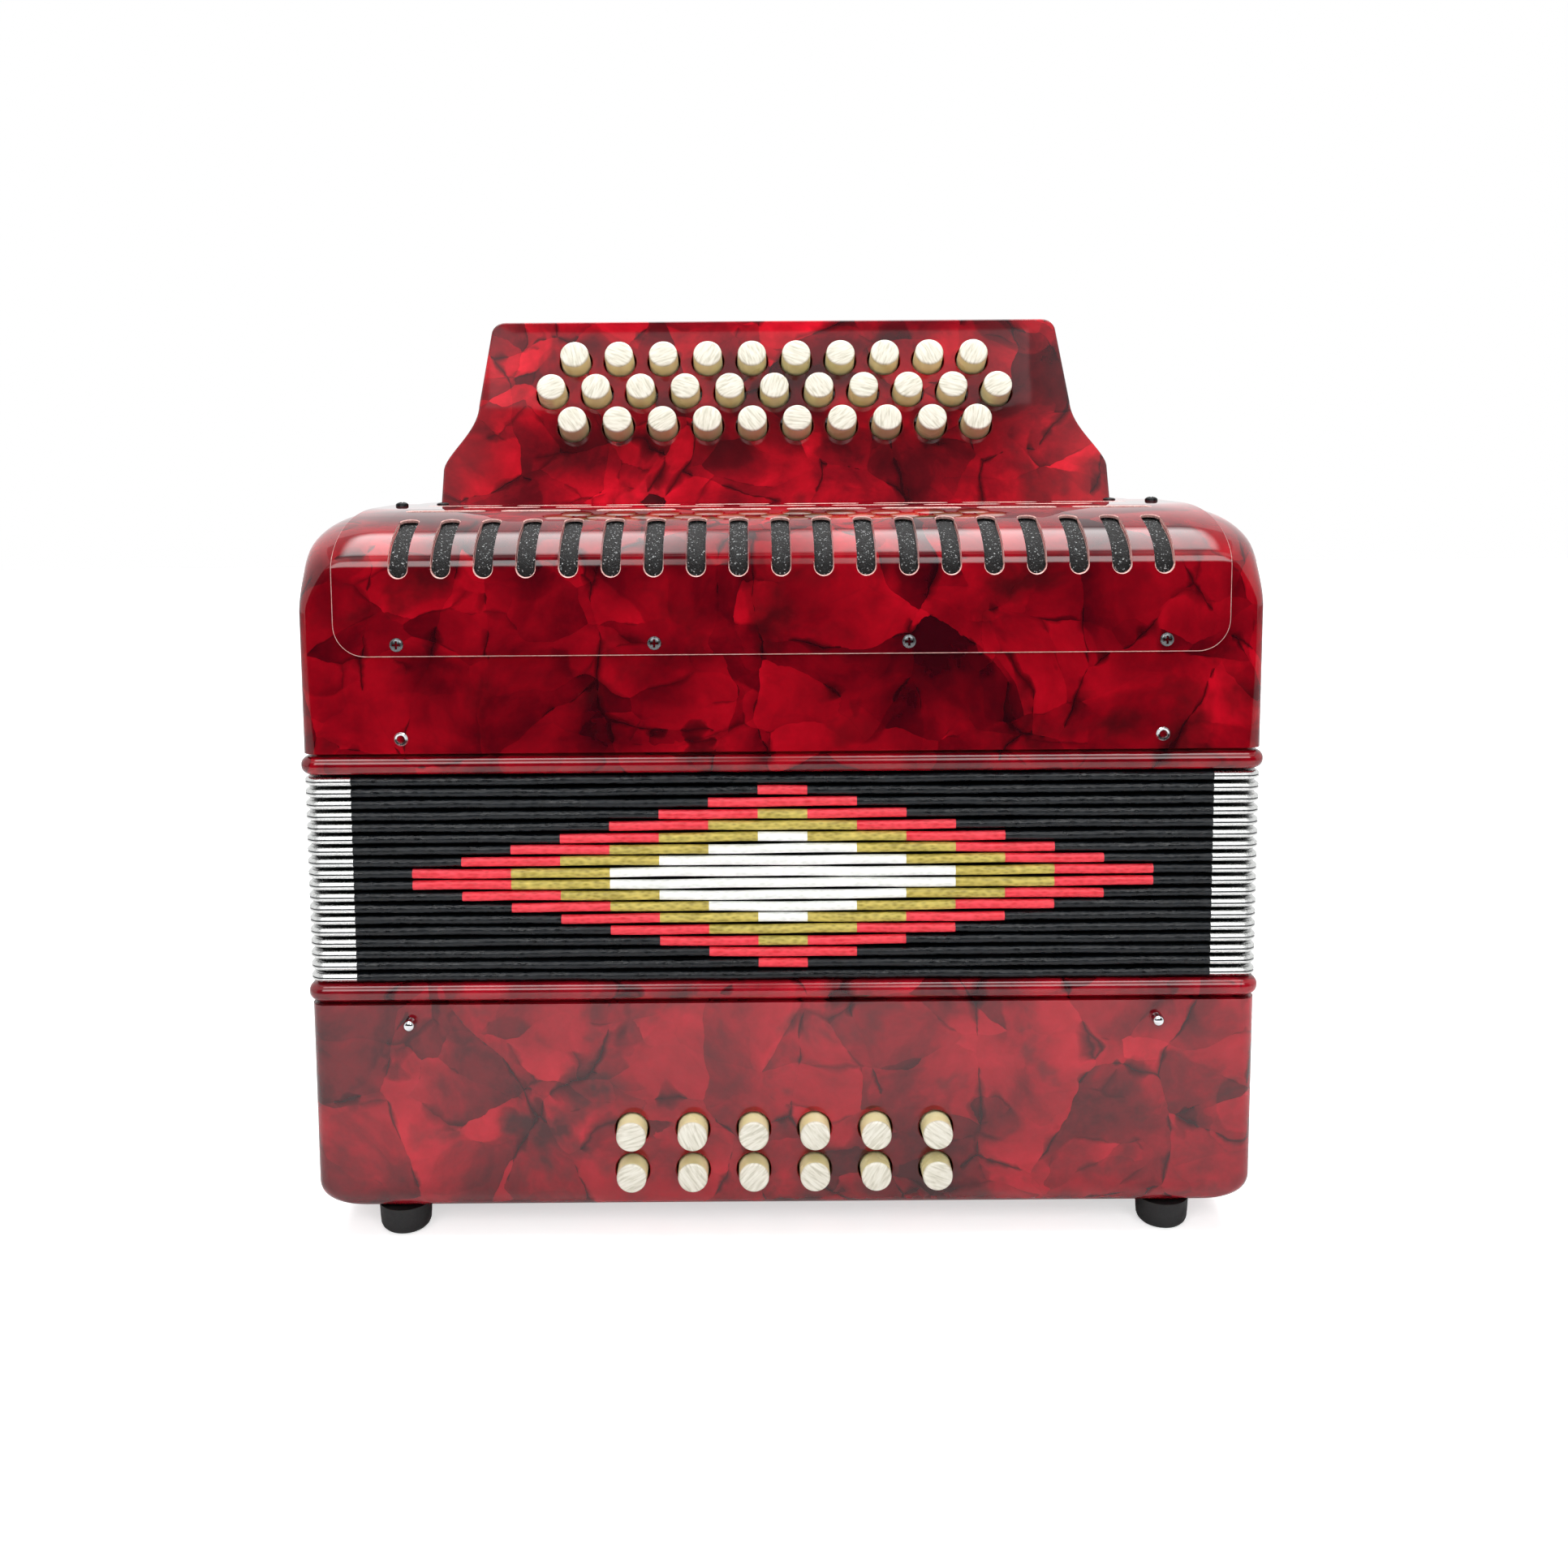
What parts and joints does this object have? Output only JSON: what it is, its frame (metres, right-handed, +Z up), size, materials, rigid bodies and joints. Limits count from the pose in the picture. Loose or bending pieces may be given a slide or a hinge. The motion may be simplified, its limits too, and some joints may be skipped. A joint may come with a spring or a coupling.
{
  "type": "diatonic button accordion",
  "caption": "Box-shaped button accordion with a folded bellows between two casings, a slotted grille and a leaning fingerboard of round buttons",
  "frame": {"origin": "on the floor under the centre of the whole object's box, standing on its four feet", "axes": "+X to the viewer's right along the long side, -Y towards the front with the buttons, +Z up along the bellows' travel"},
  "size_m": [0.3232, 0.1932, 0.3207],
  "materials": {
    "red_celluloid": "polished red pearloid celluloid over a wooden shell",
    "red_cover_sheet": "polished red pearloid sheet",
    "bellows_cloth": "black grained bellows tape on folded card",
    "pearl_button": "cream pearl plastic",
    "black_rubber": "moulded matt rubber",
    "steel_wire": "drawn steel wire on folded steel posts",
    "spruce": "planed softwood"
  },
  "bodies": {
    "bass_end": {"bass_casing": "red_celluloid", "bass_bellows_frame": "red_celluloid", "bellows": "bellows_cloth", "bass_reed_block": "spruce", "bass_button_guide": "spruce", "foot_front_left": "black_rubber", "foot_front_right": "black_rubber", "foot_rear_left": "black_rubber", "foot_rear_right": "black_rubber"},
    "treble_end": {"treble_casing": "red_celluloid", "treble_bellows_frame": "red_celluloid", "grille_cover": "red_cover_sheet", "fingerboard": "red_celluloid", "fingerboard_back": "red_celluloid", "treble_key_axle": "steel_wire", "treble_reed_block": "spruce"},
    "treble_key_1_01": {"treble_key_1_01": "pearl_button"},
    "treble_key_1_02": {"treble_key_1_02": "pearl_button"},
    "treble_key_1_03": {"treble_key_1_03": "pearl_button"},
    "treble_key_1_04": {"treble_key_1_04": "pearl_button"},
    "treble_key_1_05": {"treble_key_1_05": "pearl_button"},
    "treble_key_1_06": {"treble_key_1_06": "pearl_button"},
    "treble_key_1_07": {"treble_key_1_07": "pearl_button"},
    "treble_key_1_08": {"treble_key_1_08": "pearl_button"},
    "treble_key_1_09": {"treble_key_1_09": "pearl_button"},
    "treble_key_1_10": {"treble_key_1_10": "pearl_button"},
    "treble_key_2_01": {"treble_key_2_01": "pearl_button"},
    "treble_key_2_02": {"treble_key_2_02": "pearl_button"},
    "treble_key_2_03": {"treble_key_2_03": "pearl_button"},
    "treble_key_2_04": {"treble_key_2_04": "pearl_button"},
    "treble_key_2_05": {"treble_key_2_05": "pearl_button"},
    "treble_key_2_06": {"treble_key_2_06": "pearl_button"},
    "treble_key_2_07": {"treble_key_2_07": "pearl_button"},
    "treble_key_2_08": {"treble_key_2_08": "pearl_button"},
    "treble_key_2_09": {"treble_key_2_09": "pearl_button"},
    "treble_key_2_10": {"treble_key_2_10": "pearl_button"},
    "treble_key_2_11": {"treble_key_2_11": "pearl_button"},
    "treble_key_3_01": {"treble_key_3_01": "pearl_button"},
    "treble_key_3_02": {"treble_key_3_02": "pearl_button"},
    "treble_key_3_03": {"treble_key_3_03": "pearl_button"},
    "treble_key_3_04": {"treble_key_3_04": "pearl_button"},
    "treble_key_3_05": {"treble_key_3_05": "pearl_button"},
    "treble_key_3_06": {"treble_key_3_06": "pearl_button"},
    "treble_key_3_07": {"treble_key_3_07": "pearl_button"},
    "treble_key_3_08": {"treble_key_3_08": "pearl_button"},
    "treble_key_3_09": {"treble_key_3_09": "pearl_button"},
    "treble_key_3_10": {"treble_key_3_10": "pearl_button"},
    "bass_key_1_1": {"bass_key_1_1": "pearl_button"},
    "bass_key_1_2": {"bass_key_1_2": "pearl_button"},
    "bass_key_1_3": {"bass_key_1_3": "pearl_button"},
    "bass_key_1_4": {"bass_key_1_4": "pearl_button"},
    "bass_key_1_5": {"bass_key_1_5": "pearl_button"},
    "bass_key_1_6": {"bass_key_1_6": "pearl_button"},
    "bass_key_2_1": {"bass_key_2_1": "pearl_button"},
    "bass_key_2_2": {"bass_key_2_2": "pearl_button"},
    "bass_key_2_3": {"bass_key_2_3": "pearl_button"},
    "bass_key_2_4": {"bass_key_2_4": "pearl_button"},
    "bass_key_2_5": {"bass_key_2_5": "pearl_button"},
    "bass_key_2_6": {"bass_key_2_6": "pearl_button"},
    "air_key": {"air_key": "pearl_button"}
  },
  "joints": [
    {"name": "bellows_open", "type": "slide", "parent": "bass_end", "child": "treble_end", "axis": [0, 0, 1], "range_m": [0, 0.28], "deforming": ["bellows"]},
    {"name": "treble_key_1_01_press", "type": "hinge", "parent": "treble_end", "child": "treble_key_1_01", "pos_m": [-0.08132, 0.00732, 0.22883], "axis": [-1, 0, 0], "range_deg": [0, 2.28], "stiffness_Nm_per_rad": 0.4, "springref_deg": -6.88},
    {"name": "treble_key_1_02_press", "type": "hinge", "parent": "treble_end", "child": "treble_key_1_02", "pos_m": [-0.06367, 0.00732, 0.22883], "axis": [-1, 0, 0], "range_deg": [0, 2.28], "stiffness_Nm_per_rad": 0.4, "springref_deg": -6.88},
    {"name": "treble_key_1_03_press", "type": "hinge", "parent": "treble_end", "child": "treble_key_1_03", "pos_m": [-0.04603, 0.00732, 0.22883], "axis": [-1, 0, 0], "range_deg": [0, 2.28], "stiffness_Nm_per_rad": 0.4, "springref_deg": -6.88},
    {"name": "treble_key_1_04_press", "type": "hinge", "parent": "treble_end", "child": "treble_key_1_04", "pos_m": [-0.02838, 0.00732, 0.22883], "axis": [-1, 0, 0], "range_deg": [0, 2.28], "stiffness_Nm_per_rad": 0.4, "springref_deg": -6.88},
    {"name": "treble_key_1_05_press", "type": "hinge", "parent": "treble_end", "child": "treble_key_1_05", "pos_m": [-0.01073, 0.00732, 0.22883], "axis": [-1, 0, 0], "range_deg": [0, 2.28], "stiffness_Nm_per_rad": 0.4, "springref_deg": -6.88},
    {"name": "treble_key_1_06_press", "type": "hinge", "parent": "treble_end", "child": "treble_key_1_06", "pos_m": [0.00692, 0.00732, 0.22883], "axis": [-1, 0, 0], "range_deg": [0, 2.28], "stiffness_Nm_per_rad": 0.4, "springref_deg": -6.88},
    {"name": "treble_key_1_07_press", "type": "hinge", "parent": "treble_end", "child": "treble_key_1_07", "pos_m": [0.02457, 0.00732, 0.22883], "axis": [-1, 0, 0], "range_deg": [0, 2.28], "stiffness_Nm_per_rad": 0.4, "springref_deg": -6.88},
    {"name": "treble_key_1_08_press", "type": "hinge", "parent": "treble_end", "child": "treble_key_1_08", "pos_m": [0.04222, 0.00732, 0.22883], "axis": [-1, 0, 0], "range_deg": [0, 2.28], "stiffness_Nm_per_rad": 0.4, "springref_deg": -6.88},
    {"name": "treble_key_1_09_press", "type": "hinge", "parent": "treble_end", "child": "treble_key_1_09", "pos_m": [0.05987, 0.00732, 0.22883], "axis": [-1, 0, 0], "range_deg": [0, 2.28], "stiffness_Nm_per_rad": 0.4, "springref_deg": -6.88},
    {"name": "treble_key_1_10_press", "type": "hinge", "parent": "treble_end", "child": "treble_key_1_10", "pos_m": [0.07752, 0.00732, 0.22883], "axis": [-1, 0, 0], "range_deg": [0, 2.28], "stiffness_Nm_per_rad": 0.4, "springref_deg": -6.88},
    {"name": "treble_key_2_01_press", "type": "hinge", "parent": "treble_end", "child": "treble_key_2_01", "pos_m": [-0.09015, 0.00732, 0.22883], "axis": [-1, 0, 0], "range_deg": [0, 2.77], "stiffness_Nm_per_rad": 0.4, "springref_deg": -6.88},
    {"name": "treble_key_2_02_press", "type": "hinge", "parent": "treble_end", "child": "treble_key_2_02", "pos_m": [-0.0725, 0.00732, 0.22883], "axis": [-1, 0, 0], "range_deg": [0, 2.77], "stiffness_Nm_per_rad": 0.4, "springref_deg": -6.88},
    {"name": "treble_key_2_03_press", "type": "hinge", "parent": "treble_end", "child": "treble_key_2_03", "pos_m": [-0.05485, 0.00732, 0.22883], "axis": [-1, 0, 0], "range_deg": [0, 2.77], "stiffness_Nm_per_rad": 0.4, "springref_deg": -6.88},
    {"name": "treble_key_2_04_press", "type": "hinge", "parent": "treble_end", "child": "treble_key_2_04", "pos_m": [-0.0372, 0.00732, 0.22883], "axis": [-1, 0, 0], "range_deg": [0, 2.77], "stiffness_Nm_per_rad": 0.4, "springref_deg": -6.88},
    {"name": "treble_key_2_05_press", "type": "hinge", "parent": "treble_end", "child": "treble_key_2_05", "pos_m": [-0.01955, 0.00732, 0.22883], "axis": [-1, 0, 0], "range_deg": [0, 2.77], "stiffness_Nm_per_rad": 0.4, "springref_deg": -6.88},
    {"name": "treble_key_2_06_press", "type": "hinge", "parent": "treble_end", "child": "treble_key_2_06", "pos_m": [-0.0019, 0.00732, 0.22883], "axis": [-1, 0, 0], "range_deg": [0, 2.77], "stiffness_Nm_per_rad": 0.4, "springref_deg": -6.88},
    {"name": "treble_key_2_07_press", "type": "hinge", "parent": "treble_end", "child": "treble_key_2_07", "pos_m": [0.01575, 0.00732, 0.22883], "axis": [-1, 0, 0], "range_deg": [0, 2.77], "stiffness_Nm_per_rad": 0.4, "springref_deg": -6.88},
    {"name": "treble_key_2_08_press", "type": "hinge", "parent": "treble_end", "child": "treble_key_2_08", "pos_m": [0.0334, 0.00732, 0.22883], "axis": [-1, 0, 0], "range_deg": [0, 2.77], "stiffness_Nm_per_rad": 0.4, "springref_deg": -6.88},
    {"name": "treble_key_2_09_press", "type": "hinge", "parent": "treble_end", "child": "treble_key_2_09", "pos_m": [0.05105, 0.00732, 0.22883], "axis": [-1, 0, 0], "range_deg": [0, 2.77], "stiffness_Nm_per_rad": 0.4, "springref_deg": -6.88},
    {"name": "treble_key_2_10_press", "type": "hinge", "parent": "treble_end", "child": "treble_key_2_10", "pos_m": [0.0687, 0.00732, 0.22883], "axis": [-1, 0, 0], "range_deg": [0, 2.77], "stiffness_Nm_per_rad": 0.4, "springref_deg": -6.88},
    {"name": "treble_key_2_11_press", "type": "hinge", "parent": "treble_end", "child": "treble_key_2_11", "pos_m": [0.08635, 0.00732, 0.22883], "axis": [-1, 0, 0], "range_deg": [0, 2.77], "stiffness_Nm_per_rad": 0.4, "springref_deg": -6.88},
    {"name": "treble_key_3_01_press", "type": "hinge", "parent": "treble_end", "child": "treble_key_3_01", "pos_m": [-0.08132, 0.00732, 0.22883], "axis": [-1, 0, 0], "range_deg": [0, 3.53], "stiffness_Nm_per_rad": 0.4, "springref_deg": -6.88},
    {"name": "treble_key_3_02_press", "type": "hinge", "parent": "treble_end", "child": "treble_key_3_02", "pos_m": [-0.06367, 0.00732, 0.22883], "axis": [-1, 0, 0], "range_deg": [0, 3.53], "stiffness_Nm_per_rad": 0.4, "springref_deg": -6.88},
    {"name": "treble_key_3_03_press", "type": "hinge", "parent": "treble_end", "child": "treble_key_3_03", "pos_m": [-0.04603, 0.00732, 0.22883], "axis": [-1, 0, 0], "range_deg": [0, 3.53], "stiffness_Nm_per_rad": 0.4, "springref_deg": -6.88},
    {"name": "treble_key_3_04_press", "type": "hinge", "parent": "treble_end", "child": "treble_key_3_04", "pos_m": [-0.02838, 0.00732, 0.22883], "axis": [-1, 0, 0], "range_deg": [0, 3.53], "stiffness_Nm_per_rad": 0.4, "springref_deg": -6.88},
    {"name": "treble_key_3_05_press", "type": "hinge", "parent": "treble_end", "child": "treble_key_3_05", "pos_m": [-0.01073, 0.00732, 0.22883], "axis": [-1, 0, 0], "range_deg": [0, 3.53], "stiffness_Nm_per_rad": 0.4, "springref_deg": -6.88},
    {"name": "treble_key_3_06_press", "type": "hinge", "parent": "treble_end", "child": "treble_key_3_06", "pos_m": [0.00692, 0.00732, 0.22883], "axis": [-1, 0, 0], "range_deg": [0, 3.53], "stiffness_Nm_per_rad": 0.4, "springref_deg": -6.88},
    {"name": "treble_key_3_07_press", "type": "hinge", "parent": "treble_end", "child": "treble_key_3_07", "pos_m": [0.02457, 0.00732, 0.22883], "axis": [-1, 0, 0], "range_deg": [0, 3.53], "stiffness_Nm_per_rad": 0.4, "springref_deg": -6.88},
    {"name": "treble_key_3_08_press", "type": "hinge", "parent": "treble_end", "child": "treble_key_3_08", "pos_m": [0.04222, 0.00732, 0.22883], "axis": [-1, 0, 0], "range_deg": [0, 3.53], "stiffness_Nm_per_rad": 0.4, "springref_deg": -6.88},
    {"name": "treble_key_3_09_press", "type": "hinge", "parent": "treble_end", "child": "treble_key_3_09", "pos_m": [0.05987, 0.00732, 0.22883], "axis": [-1, 0, 0], "range_deg": [0, 3.53], "stiffness_Nm_per_rad": 0.4, "springref_deg": -6.88},
    {"name": "treble_key_3_10_press", "type": "hinge", "parent": "treble_end", "child": "treble_key_3_10", "pos_m": [0.07752, 0.00732, 0.22883], "axis": [-1, 0, 0], "range_deg": [0, 3.53], "stiffness_Nm_per_rad": 0.4, "springref_deg": -6.88},
    {"name": "bass_key_1_1_press", "type": "slide", "parent": "bass_end", "child": "bass_key_1_1", "axis": [0, 1, 0], "range_m": [0, 0.004], "stiffness_N_per_m": 200, "springref_m": -0.004},
    {"name": "bass_key_1_2_press", "type": "slide", "parent": "bass_end", "child": "bass_key_1_2", "axis": [0, 1, 0], "range_m": [0, 0.004], "stiffness_N_per_m": 200, "springref_m": -0.004},
    {"name": "bass_key_1_3_press", "type": "slide", "parent": "bass_end", "child": "bass_key_1_3", "axis": [0, 1, 0], "range_m": [0, 0.004], "stiffness_N_per_m": 200, "springref_m": -0.004},
    {"name": "bass_key_1_4_press", "type": "slide", "parent": "bass_end", "child": "bass_key_1_4", "axis": [0, 1, 0], "range_m": [0, 0.004], "stiffness_N_per_m": 200, "springref_m": -0.004},
    {"name": "bass_key_1_5_press", "type": "slide", "parent": "bass_end", "child": "bass_key_1_5", "axis": [0, 1, 0], "range_m": [0, 0.004], "stiffness_N_per_m": 200, "springref_m": -0.004},
    {"name": "bass_key_1_6_press", "type": "slide", "parent": "bass_end", "child": "bass_key_1_6", "axis": [0, 1, 0], "range_m": [0, 0.004], "stiffness_N_per_m": 200, "springref_m": -0.004},
    {"name": "bass_key_2_1_press", "type": "slide", "parent": "bass_end", "child": "bass_key_2_1", "axis": [0, 1, 0], "range_m": [0, 0.004], "stiffness_N_per_m": 200, "springref_m": -0.004},
    {"name": "bass_key_2_2_press", "type": "slide", "parent": "bass_end", "child": "bass_key_2_2", "axis": [0, 1, 0], "range_m": [0, 0.004], "stiffness_N_per_m": 200, "springref_m": -0.004},
    {"name": "bass_key_2_3_press", "type": "slide", "parent": "bass_end", "child": "bass_key_2_3", "axis": [0, 1, 0], "range_m": [0, 0.004], "stiffness_N_per_m": 200, "springref_m": -0.004},
    {"name": "bass_key_2_4_press", "type": "slide", "parent": "bass_end", "child": "bass_key_2_4", "axis": [0, 1, 0], "range_m": [0, 0.004], "stiffness_N_per_m": 200, "springref_m": -0.004},
    {"name": "bass_key_2_5_press", "type": "slide", "parent": "bass_end", "child": "bass_key_2_5", "axis": [0, 1, 0], "range_m": [0, 0.004], "stiffness_N_per_m": 200, "springref_m": -0.004},
    {"name": "bass_key_2_6_press", "type": "slide", "parent": "bass_end", "child": "bass_key_2_6", "axis": [0, 1, 0], "range_m": [0, 0.004], "stiffness_N_per_m": 200, "springref_m": -0.004},
    {"name": "air_key_press", "type": "slide", "parent": "bass_end", "child": "air_key", "axis": [-1, 0, 0], "range_m": [0, 0.004], "stiffness_N_per_m": 200, "springref_m": -0.004}
  ]
}
